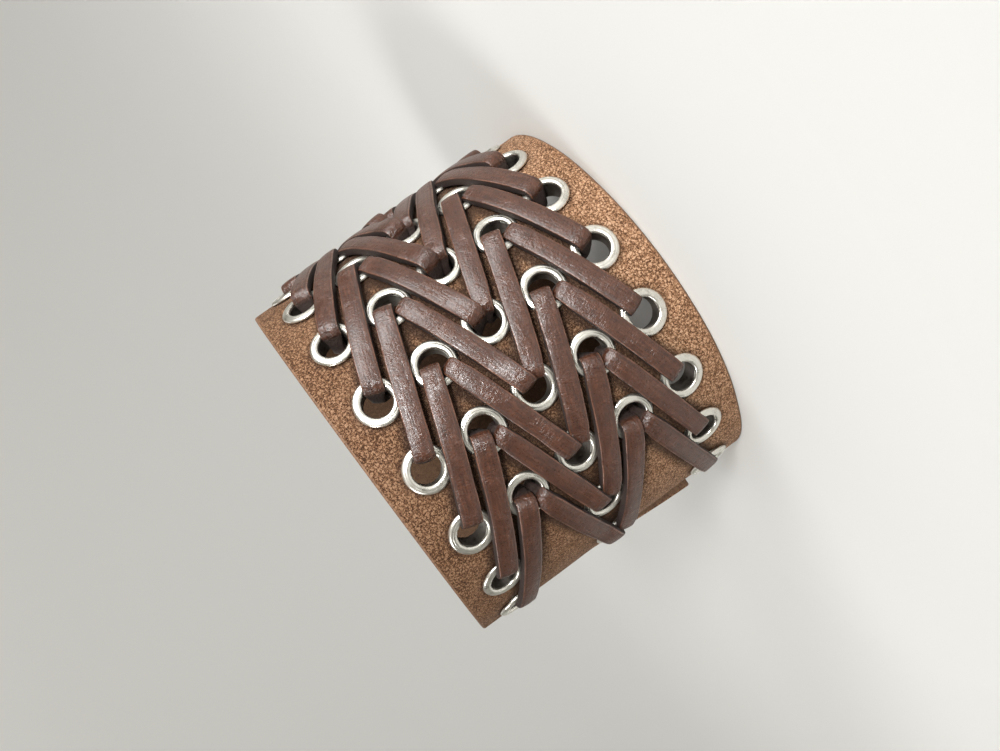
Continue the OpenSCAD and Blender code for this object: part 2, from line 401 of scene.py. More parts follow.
def tumbledNickelPlate(look):
    # Brass, stamped, nickel plated and tumbled: a bright but soft satin, a little warm,
    # with the tumbling marks drawn coarser than real so that they show
    material, tree, shader = newMaterial("tumbledNickelPlate", {"Metallic": 1.0})
    place = addNode(tree, "TexCoord", output="Object")
    scuffs = addNode(tree, "TexNoise", {
        "Vector": place, "Scale": perMetre(look["scuffSize"]), "Detail": 4.0, "Roughness": 0.6,
    })
    plating = addNode(tree, "ValToRGB", {"Fac": scuffs})
    setRamp(plating, look)
    rough = addNode(tree, "MapRange", {
        "Value": scuffs, "From Min": 0.3, "From Max": 0.7, "To Min": look["roughness"][0],
        "To Max": look["roughness"][1],
    })
    setInputs(tree, shader, {"Base Color": plating, "Roughness": rough})
    return material


barrelFinish = {"tones": ("#4b453f", "#77716a"), "places": (0.3, 0.5),
                "roughness": (0.45, 0.6), "scuffSize": 1.0}


def tarnishedNickelPlate(look):
    # The same plate inside the barrels, which tumbling doesn't reach: dark and dull
    material = tumbledNickelPlate(look)
    material.name = "tarnishedNickelPlate"
    return material


grainLeather = oilTannedCowhide(grainSide)
fleshLeather = suedeFleshSide()
edgeLeather = burnishedCutEdge()
laceLeather = glazedLaceLeather(laceFinish)
nickelPlate = tumbledNickelPlate(nickelFinish)
dullPlate = tarnishedNickelPlate(barrelFinish)
print("materials made")


# The strip's course: the front half turns about the origin, the two ends about a centre
# beside it. Angles are the way the leather faces, in degrees, from straight ahead.
strip = {
    "width": 50.0 * mm,
    "leather": 2.2 * mm,
    "loopRadius": 30.0 * mm,
    "layerGap": 0.3 * mm,
    "tabWidth": 32.6 * mm,
    "tipAngle": 264.0,
    "tipSlant": 10.0,
    "shoulderAngle": 210.0,
    "shoulderLength": 12.0 * mm,
    "shoulderEase": 2.0,    # degrees over which its corners are eased, either way
    "slantFrom": 225.0,
    "lacedEndAngle": -160.0,
    "edgeRound": 0.35 * mm,
    "ringGap": 0.56 * mm,
    "columns": 84,
    "dimple": 0.12 * mm,    # pressed in by the flanges
    "dimpleTo": 3.4,        # millimetres from the middle of a hole
    "dimpleFade": 1.4,
    "swell": 0.04 * mm,
    "swellSize": 14.0 * mm,
    "laceShadeTo": 1.6,       # painted shade reaches this many millimetres from the middle of a lace
    "laceShadeFade": 1.5,
    "laceShadeShare": 0.85,
    "rimShadeTo": 3.3,           # painted shadow the same round the eyelets, from the middle of a hole
    "rimShadeShare": 0.6,
    # How far the closing side opens out: degrees at which that starts and ends with the
    # degrees that each takes, and millimetres at the upper edge and more at the lower one
    "flareStart": (48, 30),
    "flareEnd": (100, 40),
    "flare": (0.2, 0.9),
}
endsShift = (strip["leather"] + strip["layerGap"]) / 2
tabRadius = strip["loopRadius"] + endsShift
lacedEndRadius = strip["loopRadius"] - endsShift

# Places of the eyelets: rows from the top down, with the place in rows from the middle,
# the shift along the strip that hand punching left, and the first column
holes = {
    "firstAngle": 76.5,
    "pitch": 11.1 * mm,
    "rowGap": 9.1 * mm,
    "count": 8,
    "bore": 2.62 * mm,
    "rows": {
        "a": (2, -0.3 * mm, 0),
        "b": (1, 0.1 * mm, -2),
        "c": (0, -0.5 * mm, 0),
        "d": (-1, 0.5 * mm, -2),
        "e": (-2, 0.2 * mm, 0),
    },
}


# Rise row and dive row of each lace, and its seats in them
laceCourses = {
    "lace_ab": ("b", "a", "riseOver", "diveUpper"),
    "lace_bc": ("b", "c", "riseUnder", "diveOver"),
    "lace_cd": ("d", "c", "riseOver", "diveUnder"),
    "lace_de": ("d", "e", "riseUnder", "diveLower"),
}


def holePlace(row, i):
    # Along the strip from the first column, and up from the lower edge
    rowPlace, shift, firstColumn = holes["rows"][row]
    along = (firstColumn + i) * holes["pitch"] + shift
    return np.array([along, strip["width"] / 2 + rowPlace * holes["rowGap"]])


def allHoles():
    return [(row, i, holePlace(row, i)) for row in holes["rows"] for i in range(holes["count"])]


def arcOf(angle):
    # Centre's x and radius of the arc that faces this way
    centre = np.where(np.abs(angle) > 90, -endsShift, 0.0)
    radius = np.where(
        angle > 90, tabRadius, np.where(angle < -90, lacedEndRadius, strip["loopRadius"]))
    return centre, radius


def angleAt(along):
    angle = holes["firstAngle"] - np.degrees(along / strip["loopRadius"])
    return np.where(angle > 90, 90 + (angle - 90) * strip["loopRadius"] / tabRadius, angle)


def alongAt(angle):
    toQuarter = np.radians(holes["firstAngle"] - 90) * strip["loopRadius"]
    return np.where(
        angle > 90, toQuarter - np.radians(angle - 90) * tabRadius,
        np.radians(holes["firstAngle"] - angle) * strip["loopRadius"])


def softStep(share):
    share = np.clip(share, 0.0, 1.0)
    return share * share * (3 - 2 * share)


def flareOf(angle, up):
    # The closing side opens out a little towards the lower edge, and the tab's end with it
    angle = np.where(angle > 180, angle - 360, angle)
    share = 1 - np.clip(up / strip["width"], 0, 1)
    (start, grows), (end, fades) = strip["flareStart"], strip["flareEnd"]
    front = softStep((-angle - start) / grows) * (1 - softStep((-angle - end) / fades))
    return front * (strip["flare"][0] + strip["flare"][1] * share) * mm


def onStrip(angle, up, out):
    # Points in the part's frame, out of the leather's outer face by out
    centre, radius = arcOf(angle)
    out = out + flareOf(angle, up)
    turned = np.radians(angle)
    return np.stack([
        centre + (radius + out) * np.sin(turned),
        -(radius + out) * np.cos(turned),
        np.broadcast_to(up, turned.shape),
    ], axis=-1)


def turnToStrip(angle, alongShare, upShare, outShare):
    # Directions on the strip, in the part's frame
    turned = np.radians(angle)
    return np.stack([
        -alongShare * np.cos(turned) + outShare * np.sin(turned),
        -alongShare * np.sin(turned) - outShare * np.cos(turned),
        np.broadcast_to(upShare, turned.shape),
    ], axis=-1)


# Helpers for meshes

def slowWave(x, y, size, seed):
    # A smooth wander between about -1 and 1, the same on each run
    draws = np.random.default_rng(seed)
    total = 0.0
    for _ in range(5):
        heading = draws.uniform(0, 2 * math.pi)
        length = size * draws.uniform(0.6, 1.6)
        phase = draws.uniform(0, 2 * math.pi)
        total = total + np.sin(
            2 * math.pi * (x * math.cos(heading) + y * math.sin(heading)) / length + phase)
    return total / 3


def makePiece(name, points, faces, materials, faceMaterials=None):
    mesh = bpy.data.meshes.new(name)
    mesh.from_pydata(points.reshape(-1, 3).tolist(), [], faces)
    for material in materials:
        mesh.materials.append(material)
    if faceMaterials is not None:
        mesh.polygons.foreach_set("material_index", faceMaterials)
    mesh.polygons.foreach_set("use_smooth", np.ones(len(mesh.polygons), bool))
    mesh.update()
    return addObject(name, mesh)


def tubeFaces(ringCount, sideCount):
    # Quads of a closed tube of rings
    ring = np.arange(ringCount - 1)[:, None] * sideCount
    side = np.arange(sideCount)[None, :]
    after = (side + 1) % sideCount
    quads = np.stack([
        ring + side, ring + after, ring + sideCount + after, ring + sideCount + side,
    ], axis=-1)
    return [tuple(quad) for quad in quads.reshape(-1, 4).tolist()]


def endFaces(ringCount, sideCount):
    last = (ringCount - 1) * sideCount
    return [tuple(reversed(range(sideCount))), tuple(range(last, last + sideCount))]


def keep(piece, nodes):
    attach(piece, "root")
    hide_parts(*nodes)


# The strip of leather

def halfWidth(angle):
    # Half of the strip's width, narrowing to the tab with its corners eased
    start = strip["shoulderAngle"] - math.degrees(strip["shoulderLength"] / tabRadius)
    full = strip["width"] / 2
    total = 0.0
    eases = np.linspace(-strip["shoulderEase"], strip["shoulderEase"], 9)
    for ease in eases:
        share = np.clip((angle + ease - start) / (strip["shoulderAngle"] - start), 0, 1)
        total = total + full + share * (strip["tabWidth"] / 2 - full)
    return total / len(eases)


def stripRings():
    # Angles of the rings and how far each is inset for the rounded ends
    first, last = strip["lacedEndAngle"], strip["tipAngle"]
    count = round(math.radians(last - first) * strip["loopRadius"] / strip["ringGap"])
    angles = np.linspace(first, last, count)
    turned = np.radians(np.array([90, 60, 30, 0]))
    inset = (1 - np.cos(turned)) * strip["edgeRound"]
    reach = np.degrees((1 - np.sin(turned)) * strip["edgeRound"] / strip["loopRadius"])
    room = reach[-1] + 0.3  # degrees that a rounded end takes, and a little more
    inside = angles[(angles > first + room) & (angles < last - room)]
    allAngles = np.concatenate([first + reach, inside, (last - reach)[::-1]])
    insets = np.concatenate([inset, np.zeros(len(inside)), inset[::-1]])
    return allAngles, insets


def stripLoop():
    # One closed section: share of the half width and of the thickness, with the corner's
    # part of the edge round, for outer face, upper edge, inner face and lower edge
    across = np.linspace(-1, 1, strip["columns"])
    corner = np.radians(np.array([22.5, 45.0, 67.5]))
    loop = [(share, 0.0, 0.0, 0.0, 0) for share in across]
    loop += [(1.0, 0.0, math.sin(c), 1 - math.cos(c), 2) for c in corner]
    loop += [(1.0, 1.0, math.cos(c), -(1 - math.sin(c)), 2) for c in corner]
    loop += [(share, 1.0, 0.0, 0.0, 1) for share in across[::-1]]
    loop += [(-1.0, 1.0, -math.sin(c), -(1 - math.cos(c)), 2) for c in corner]
    loop += [(-1.0, 0.0, -math.cos(c), 1 - math.sin(c), 2) for c in corner]
    return np.array(loop)


def stripPoints():
    angles, insets = stripRings()
    loop = stripLoop()
    across, inward, sideRound, depthRound = loop[:, :4].T
    inset = insets[:, None]
    half = halfWidth(angles)[:, None] - inset - strip["edgeRound"]
    side = half * across + strip["edgeRound"] * sideRound
    up = strip["width"] / 2 + side
    depth = strip["leather"] * inward + strip["edgeRound"] * depthRound
    depth = depth + inset * np.where(inward > 0.5, -1, 1)
    angle = np.broadcast_to(angles[:, None], up.shape).copy()

    # The tip is cut askew: it runs on less towards the upper edge
    short = (up - (strip["width"] - strip["tabWidth"]) / 2) \
        * math.tan(math.radians(strip["tipSlant"]))
    short = np.degrees(short / tabRadius)
    onTab = np.clip(
        (angle - strip["slantFrom"]) / (strip["tipAngle"] - strip["slantFrom"]), 0, 1)
    angle = angle - short * onTab

    # Pressed in under each flange, and a slow swell over the whole face
    along = alongAt(angle)
    nearest = np.full(up.shape, 1.0)
    for _, _, place in allHoles():
        nearest = np.minimum(nearest, np.hypot(along - place[0], up - place[1]))
    pressed = 1 - softStep((nearest / mm - strip["dimpleTo"]) / strip["dimpleFade"])
    outer = 1 - inward
    out = -depth - outer * strip["dimple"] * pressed
    swell = slowWave(along, up, strip["swellSize"], 5) * strip["swell"]
    out = out + swell * outer * (1 - pressed)
    return onStrip(angle, up, out), loop


snaps = {
    "angle": 235.0,
    "gap": 17.0 * mm,
    "postRadius": 2.0 * mm,
    "sides": 72,
}


def snapHeights():
    return [strip["width"] / 2 + side * snaps["gap"] / 2 for side in (1, -1)]


# Pegs that are cut out of the strip, from how far out of its face to how far in: the
# snaps' pegs go through both layers and leave their posts some room
pegs = {
    "sides": 40,
    "high": 1.5 * mm,
    "lowAtEyelet": -4 * mm,
    "lowAtSnap": -8 * mm,
    "snapRoom": 0.1 * mm,
}


def makeBores():
    sides = pegs["sides"]
    turned = np.linspace(0, 2 * math.pi, sides, endpoint=False)
    points, faces = [], []

    def addPeg(angle, up, radius, low):
        base = len(points) * sides
        for out in (pegs["high"], low):
            points.append(
                onStrip(angle, up, out)
                + radius * (np.outer(np.cos(turned), turnToStrip(angle, 1.0, 0.0, 0.0))
                            + np.outer(np.sin(turned), turnToStrip(angle, 0.0, 1.0, 0.0))))
        for face in tubeFaces(2, sides) + endFaces(2, sides):
            faces.append(tuple(base + j for j in face))

    for _, _, place in allHoles():
        addPeg(angleAt(place[0]), place[1], holes["bore"], pegs["lowAtEyelet"])
    for up in snapHeights():
        addPeg(snaps["angle"], up, snaps["postRadius"] + pegs["snapRoom"],
               pegs["lowAtSnap"])
    # The cut faces get the strip's second material, which is its edge
    return makePiece("bores", np.concatenate(points), faces, [edgeLeather, edgeLeather],
                     np.ones(len(faces), int))


def paintLaceAndEyeletShade(mesh):
    # Painted shade on the leather: how dark each point is painted beside and under the laces,
    # where shade falls, and round the eyelets
    spots = np.zeros(len(mesh.vertices) * 3)
    mesh.vertices.foreach_get("co", spots)
    spots = spots.reshape(-1, 3)
    angle = np.degrees(np.arctan2(spots[:, 0], -spots[:, 1]))
    onTab = np.abs(np.hypot(spots[:, 0] + endsShift, spots[:, 1])) > strip["loopRadius"]
    onEnd = np.abs(angle) > 90
    turned = np.degrees(np.arctan2(spots[:, 0] + endsShift, -spots[:, 1]))
    angle = np.where(onEnd, turned, angle)
    angle = np.where(onEnd & onTab & (angle < 0), angle + 360, angle)
    along, up = alongAt(angle), spots[:, 2]
    nearest = np.full(len(spots), 1.0)
    for upRow, downRow, _, _ in laceCourses.values():
        for i in range(holes["count"]):
            start, end = holePlace(upRow, i), holePlace(downRow, i)
            way = end - start
            share = ((along - start[0]) * way[0] + (up - start[1]) * way[1]) / (way @ way)
            share = np.clip(share, 0, 1)
            nearest = np.minimum(nearest, np.hypot(
                along - start[0] - share * way[0], up - start[1] - share * way[1]))
    reach = (nearest / mm - strip["laceShadeTo"]) / strip["laceShadeFade"]
    dark = strip["laceShadeShare"] * (1 - softStep(reach))
    # Painted shadow in a ring round each eyelet's flange
    for _, _, place in allHoles():
        toHole = np.hypot(along - place[0], up - place[1]) / mm
        beside = 1 - softStep(toHole - strip["rimShadeTo"])
        dark = np.maximum(dark, strip["rimShadeShare"] * beside)
    paintedShade = mesh.attributes.new("paintedShade", "FLOAT", "POINT")
    paintedShade.data.foreach_set("value", dark)


def makeStrip():
    points, loop = stripPoints()
    ringCount, sideCount = points.shape[:2]
    kinds = np.array([0, 2, 1])  # the loop's codes, in the order of the materials below
    side = loop[:, 4].astype(int)
    sideKind = np.maximum(side, np.roll(side, -1))
    sideKind = np.where(side == np.roll(side, -1), side, 2)
    faceKinds = np.tile(kinds[sideKind], ringCount - 1)
    count = strip["columns"]
    edgePoints = 6  # on the rounds of one long edge
    lastRing = (ringCount - 1) * sideCount
    inner = count + edgePoints + np.arange(count)[::-1]
    caps = []
    for j in range(count - 1):
        caps.append((j + 1, j, inner[j], inner[j + 1]))
        caps.append((lastRing + j, lastRing + j + 1, lastRing + inner[j + 1],
                     lastRing + inner[j]))
    top = list(range(count - 1, count + edgePoints + 1))
    low = list(range(2 * count + edgePoints - 1, 2 * (count + edgePoints))) + [0]
    for corner in (top, low):
        caps.append(tuple(reversed(corner)))
        caps.append(tuple(lastRing + j for j in corner))
    faces = tubeFaces(ringCount, sideCount) + [tuple(int(j) for j in c) for c in caps]
    kindsOfAll = np.concatenate([faceKinds, np.ones(len(caps), int)])
    piece = makePiece("leather_strip", points, faces,
                      [grainLeather, edgeLeather, fleshLeather], kindsOfAll)
    bores = makeBores()
    cut = piece.modifiers.new("bores", "BOOLEAN")
    cut.operation = "DIFFERENCE"
    cut.solver = "MANIFOLD"
    cut.object = bores
    bpy.context.view_layer.update()
    evaluated = piece.evaluated_get(bpy.context.evaluated_depsgraph_get())
    cutMesh = bpy.data.meshes.new_from_object(evaluated)
    piece.modifiers.clear()
    piece.data = cutMesh
    cutMesh.name = "leather_strip"
    cutMesh.flip_normals()
    bpy.data.objects.remove(bores)
    cutMesh.set_sharp_from_angle(angle=math.radians(50))
    paintLaceAndEyeletShade(cutMesh)
    keep(piece, ["cuff_band"])
    print("strip made,", len(cutMesh.polygons), "faces")


makeStrip()


# Turned pieces: eyelets and snaps

def smoothLine(corners, steps):
    # A curve through the corners, closed
    corners = np.array(corners, float)
    before, after = np.roll(corners, 1, axis=0), np.roll(corners, -1, axis=0)
    beyond = np.roll(corners, -2, axis=0)
    out = []
    for share in np.linspace(0, 1, steps, endpoint=False):
        s2, s3 = share ** 2, share ** 3
        out.append(0.5 * (
            2 * corners + (after - before) * share
            + (2 * before - 5 * corners + 4 * after - beyond) * s2
            + (3 * corners - before - 3 * after + beyond) * s3))
    return np.stack(out, axis=1).reshape(-1, 2)


def turnedPoints(profile, sides):
    # Rings of a profile of radius and height, turned about the local axis
    turned = np.linspace(0, 2 * math.pi, sides, endpoint=False)
    radius, height = profile[:, 0][None, :], profile[:, 1][None, :]
    return np.stack([
        radius * np.cos(turned)[:, None],
        radius * np.sin(turned)[:, None],
        np.broadcast_to(height, (sides, profile.shape[0])),
    ], axis=-1)


def turnedFaces(sides, count, closed=True):
    # An open profile has no faces between its last point and its first
    quads = []
    for side in range(sides):
        here, there = side * count, ((side + 1) % sides) * count
        for p in range(count if closed else count - 1):
            after = (p + 1) % count
            quads.append((here + p, there + p, there + after, here + after))
    return quads


def placeOnStrip(points, angle, up):
    # Local x along the strip, y up, z out of the leather
    return onStrip(angle, up, 0.0) \
        + points[..., :1] * turnToStrip(angle, 1.0, 0.0, 0.0) \
        + points[..., 1:2] * turnToStrip(angle, 0.0, 1.0, 0.0) \
        + points[..., 2:3] * turnToStrip(angle, 0.0, 0.0, 1.0)


# Section of an eyelet in millimetres: radius and height over the leather. It goes up the
# throat, over the flange, down outside the barrel and round the spread flange behind.
eyeletSection = [
    (2.17, -0.70), (2.15, 0.05), (2.18, 0.28), (2.28, 0.43), (2.46, 0.52),
    (2.66, 0.54), (2.80, 0.52), (2.89, 0.48), (2.98, 0.485), (3.14, 0.45), (3.30, 0.36),
    (3.43, 0.19), (3.45, -0.01), (3.34, -0.09), (3.00, -0.07), (2.66, -0.08),
    (2.55, -0.22), (2.55, -1.30), (2.55, -2.38), (2.62, -2.45), (2.92, -2.47),
    (3.07, -2.56), (3.10, -2.68), (3.02, -2.80), (2.82, -2.87), (2.55, -2.87),
    (2.36, -2.80), (2.27, -2.62), (2.25, -1.70),
]


eyelet = {
    "sides": 64,
    "throatRadius": 2.4 * mm,  # dull inside this and below the next height
    "throatHeight": 0.12 * mm,
}


def makeEyelets():
    profile = smoothLine(eyeletSection, 2) * mm
    sides = eyelet["sides"]
    local = turnedPoints(profile, sides)
    faces = turnedFaces(sides, len(profile))
    inThroat = (profile[:, 0] < eyelet["throatRadius"]) \
        & (profile[:, 1] < eyelet["throatHeight"])
    faceMaterials = np.tile((inThroat & np.roll(inThroat, -1)).astype(int), sides)
    for row, i, place in allHoles():
        points = placeOnStrip(local, angleAt(place[0]), place[1])
        name = f"eyelet_{row}{i + 1}"
        piece = makePiece("rolled_" + name, points, faces, [nickelPlate, dullPlate],
                          faceMaterials)
        keep(piece, [name])
    print("eyelets made")


makeEyelets()

# Section of a snap in millimetres, from the axis: domed cap, post, and plain disc behind
snapSection = [
    (0.0, 1.60), (1.6, 1.58), (3.2, 1.50), (4.6, 1.30), (5.5, 0.98), (5.92, 0.62),
    (6.0, 0.36), (5.9, 0.16), (5.6, 0.10), (2.2, 0.10), (2.0, 0.05), (2.0, -4.90),
    (2.1, -5.05), (4.2, -5.08), (4.45, -5.16), (4.5, -5.35), (4.4, -5.55), (4.1, -5.66),
    (0.0, -5.68),
]


def makeSnaps():
    profile = np.array(snapSection) * mm
    inside = profile[1:-1]
    sides, count = snaps["sides"], len(inside)
    poles = np.array([[0.0, 0.0, profile[0, 1]], [0.0, 0.0, profile[-1, 1]]])
    local = np.concatenate([turnedPoints(inside, sides).reshape(-1, 3), poles])
    topPole, lowPole = sides * count, sides * count + 1
    faces = turnedFaces(sides, count, closed=False)
    for side in range(sides):
        here, there = side * count, ((side + 1) % sides) * count
        faces.append((there, here, topPole))
        faces.append((here + count - 1, there + count - 1, lowPole))
    for name, up in zip(("snap_upper", "snap_lower"), snapHeights()):
        points = placeOnStrip(local, snaps["angle"], up)
        piece = makePiece("domed_" + name, points, faces, [nickelPlate])
        piece.data.set_sharp_from_angle(angle=math.radians(45))
        keep(piece, [name])
    print("snaps made")


makeSnaps()


# The laces. Each goes over the face from a rise to a dive and back behind the leather.
lace = {
    "width": 3.02 * mm,
    "thick": 1.25 * mm,
    "overHeight": 1.05 * mm,
    "underHeight": -3.67 * mm,
    "throatHeight": -1.6 * mm,
    "tail": 9.0 * mm,
    "step": 0.42 * mm,
    "cornerRound": 0.15 * mm,
    "crown": 0.12 * mm,
    "settle": 5.0 * mm,        # how far from a bend its lift and its dip fade out
    "drawIn": 0.2,
    "bendShare": 0.4,          # how much of its own size it has at the end of a bend
    "spreadOver": 2.0 * mm,    # and how far from there it has all of it
    "backBend": 1.0 * mm,      # the same behind the leather, from here down
    "backStep": 0.8 * mm,
    "backShare": 0.6,
    "rollWander": 1.5,         # degrees
    "rollSize": 17.0 * mm,
    "widthWander": 0.02,
    "widthSize": 9.0 * mm,
    "puckerReach": 1.2 * mm,   # along the lace from where it bends
    "puckerBend": 1.2 * mm,    # a bend of this radius or tighter puckers fully
    "puckerLeast": 0.06,
    "holeShadeHeights": (0.7 * mm, -2.4 * mm),  # painted shade down the holes, between these heights
    "holeShadeFade": 0.8 * mm,
}

# How a lace sits in a hole, in millimetres: how far in towards the rim and to which side,
# its width and thickness in the bend and its width in the throat, how far it is lifted
# over another lace, the bend's radius, and in degrees how its inner edge dips
seats = {
    "diveUpper": dict(inside=1.7, side=0.0, width=2.95, thick=1.05, throat=1.9,
                      lift=0.12, bend=0.75, dip=0),
    "diveLower": dict(inside=1.75, side=0.0, width=2.9, thick=1.05, throat=1.9,
                      lift=0.12, bend=0.75, dip=0),
    "riseOver": dict(inside=0.35, side=0.7, width=2.85, thick=1.05, throat=2.1,
                     lift=0.3, bend=1.1, dip=-5),
    "riseUnder": dict(inside=1.6, side=-0.75, width=2.55, thick=0.95, throat=1.8,
                      lift=0.0, bend=0.75, dip=7),
    "diveOver": dict(inside=1.05, side=0.25, width=2.9, thick=1.05, throat=2.3,
                     lift=0.5, bend=1.0, dip=-8),
    "diveUnder": dict(inside=1.55, side=-0.35, width=2.5, thick=0.95, throat=1.8,
                      lift=0.0, bend=0.75, dip=8),
}


def unit(vector):
    return vector / np.linalg.norm(vector)


def seatShift(seat, way, heading):
    return way * seat["inside"] * mm * heading + np.array([0.0, seat["side"] * mm])


def drawnIn(shift, share):
    # Down the throat, where the share is below 0, a lace draws in towards the hole's middle
    return shift * lace["drawIn"] * min(0.0, share)


def sized(seat, share):
    # Width and thickness between the bend's, at 0, and the lace's own, at 1; the throat is -1
    width, thick = seat["width"] * mm, seat["thick"] * mm
    if share < 0:
        return width + (width - seat["throat"] * mm) * share, thick
    return width + (lace["width"] - width) * share, thick + (lace["thick"] - thick) * share


def dipOf(seat):
    return math.copysign(1.0, seat["side"]) * seat["dip"]


def holeRows(seat, top):
    # Up a throat and round the bend on its rim: how far past the hole, out, share and roll
    bend, throat, rows = seat["bend"] * mm, lace["throatHeight"], []
    for share in np.linspace(0, 1, 7)[:-1]:
        rows.append((0.0, throat + (top - bend - throat) * share,
                     float(softStep(share)) - 1, dipOf(seat) * share))
    for turned in np.linspace(0, math.pi / 2, 9):
        rows.append((bend * (1 - math.cos(turned)), top - bend * (1 - math.sin(turned)),
                     lace["bendShare"] * turned / (math.pi / 2), dipOf(seat)))
    return rows


def newRun(start, end, shiftStart, shiftEnd, heading=None):
    # Each row is along, up, out, heading, width, thickness and roll. The lace heads for
    # the run's end unless it is told another way
    way, length, rows = unit(end - start), np.linalg.norm(end - start), []
    heading = math.atan2(way[1], way[0]) if heading is None else heading

    def addRow(distance, out, seat, share, roll=0.0):
        shift = shiftStart if distance < length / 2 else shiftEnd
        place = start + way * distance + drawnIn(shift, share)
        rows.append([place[0], place[1], out, heading, *sized(seat, share), roll])

    return length, rows, addRow


def overRun(rise, dive, seatUp, seatDown, shiftUp, shiftDown):
    # From the throat of the rise, over the face, to the throat of the dive
    length, rows, addRow = newRun(rise, dive, shiftUp, shiftDown)
    topUp = lace["overHeight"] + seatUp["lift"] * mm
    topDown = lace["overHeight"] + seatDown["lift"] * mm
    for distance, out, share, roll in holeRows(seatUp, topUp):
        addRow(distance, out, seatUp, share, roll)
    bendUp, bendDown = seatUp["bend"] * mm, seatDown["bend"] * mm
    bent = lace["bendShare"]
    inner = length - bendUp - bendDown
    steps = max(4, round(inner / lace["step"]))
    for share in np.linspace(0, 1, steps + 1)[1:-1]:
        fromUp, fromDown = inner * share, inner * (1 - share)
        fallUp = 1 - float(softStep(fromUp / lace["settle"]))
        fallDown = 1 - float(softStep(fromDown / lace["settle"]))
        out = lace["overHeight"] + seatUp["lift"] * mm * fallUp \
            + seatDown["lift"] * mm * fallDown
        near = min(fromUp, fromDown)
        spread = bent + (1 - bent) * float(softStep(near / lace["spreadOver"]))
        roll = dipOf(seatUp) * fallUp + dipOf(seatDown) * fallDown
        addRow(bendUp + fromUp, out, seatUp if fromUp < fromDown else seatDown, spread, roll)
    for distance, out, share, roll in reversed(holeRows(seatDown, topDown)):
        addRow(length - distance, out, seatDown, share, roll)
    return rows


def underRun(start, end, seatStart, seatEnd, shiftStart, shiftEnd, heading, tailAt=None):
    # Behind the leather, from one throat to the next, or a tail at one end
    length, rows, addRow = newRun(start, end, shiftStart, shiftEnd, heading)
    bend, bent, deep = lace["backBend"], lace["backShare"], lace["underHeight"]
    rounds = [(bend * (1 - math.cos(turned)), deep + bend * (1 - math.sin(turned)),
               (1 + bent) * float(softStep(turned / (math.pi / 2))) - 1)
              for turned in np.linspace(0, math.pi / 2, 6)]
    if tailAt != "start":
        for distance, out, share in rounds:
            addRow(distance, out, seatStart, share)
    inner = length - (0 if tailAt else bend) - bend
    begin = 0.0 if tailAt == "start" else bend
    steps = max(4, round(inner / lace["backStep"]))
    for share in np.linspace(0, 1, steps + 1)[(0 if tailAt == "start" else 1):
                                             (None if tailAt == "end" else -1)]:
        near = inner
        if tailAt != "start":
            near = min(near, inner * share)
        if tailAt != "end":
            near = min(near, inner * (1 - share))
        seat = seatStart if share < 0.5 and tailAt != "start" else seatEnd
        spread = bent + (1 - bent) * float(softStep(near / lace["spreadOver"]))
        addRow(begin + inner * share, deep, seat, spread)
    if tailAt != "end":
        for distance, out, share in reversed(rounds):
            addRow(length - distance, out, seatEnd, share)
    return rows


def laceCourse(spec):
    upRow, downRow, seatUpName, seatDownName = spec
    seatUp, seatDown = seats[seatUpName], seats[seatDownName]
    over = unit(holePlace(downRow, 0) - holePlace(upRow, 0))
    back = unit(holePlace(downRow, 0) - holePlace(upRow, 1))
    shiftUp, shiftDown = seatShift(seatUp, over, 1), seatShift(seatDown, over, -1)
    rises = [holePlace(upRow, i) + shiftUp for i in range(holes["count"])]
    dives = [holePlace(downRow, i) + shiftDown for i in range(holes["count"])]
    backHeading = math.atan2(back[1], back[0])
    rows = underRun(rises[0] + back * lace["tail"], rises[0], seatUp, seatUp,
                    shiftUp, shiftUp, backHeading, "start")
    for i in range(holes["count"]):
        rows += overRun(rises[i], dives[i], seatUp, seatDown, shiftUp, shiftDown)
        if i + 1 < holes["count"]:
            rows += underRun(dives[i], rises[i + 1], seatDown, seatUp, shiftDown,
                             shiftUp, backHeading)
    rows += underRun(dives[-1], dives[-1] - back * lace["tail"], seatDown, seatDown,
                     shiftDown, shiftDown, backHeading, "end")
    return np.array(rows)


def laceSection():
    # Across and out as shares of the half width and half thickness, how much of the
    # corner's round is taken off there, and the painted shade and rim value, from -1 where the
    # sides and underside are painted darkest, with dye and painted shade, to 1 where the top
    # corners are rubbed paler and painted with a highlight; flat, with the top slightly crowned
    corner = np.radians(np.array([0.0, 30.0, 60.0, 90.0]))
    shadeAndRimLevels = np.array([-1.0, -0.2, 0.8, 0.5])
    top = np.linspace(1, -1, 11)[1:-1]
    low = np.linspace(-1, 1, 5)[1:-1]
    points = [(1, 1, math.cos(c) - 1, math.sin(c) - 1, r) for c, r in zip(corner, shadeAndRimLevels)]
    # Painted shade along the top's edges, and on the underside further down
    points += [(share, 1, 0, 0, -0.35 if abs(share) > 0.7 else 0) for share in top]
    points += [(-1, 1, 1 - math.cos(c), math.sin(c) - 1, r)
               for c, r in zip(corner[::-1], shadeAndRimLevels[::-1])]
    points += [(-1, -1, 1 - math.cos(c), 1 - math.sin(c), -1) for c in corner]
    points += [(share, -1, 0, 0, -0.6) for share in low]
    points += [(1, -1, math.cos(c) - 1, 1 - math.sin(c), -1) for c in corner[::-1]]
    return np.array(points)


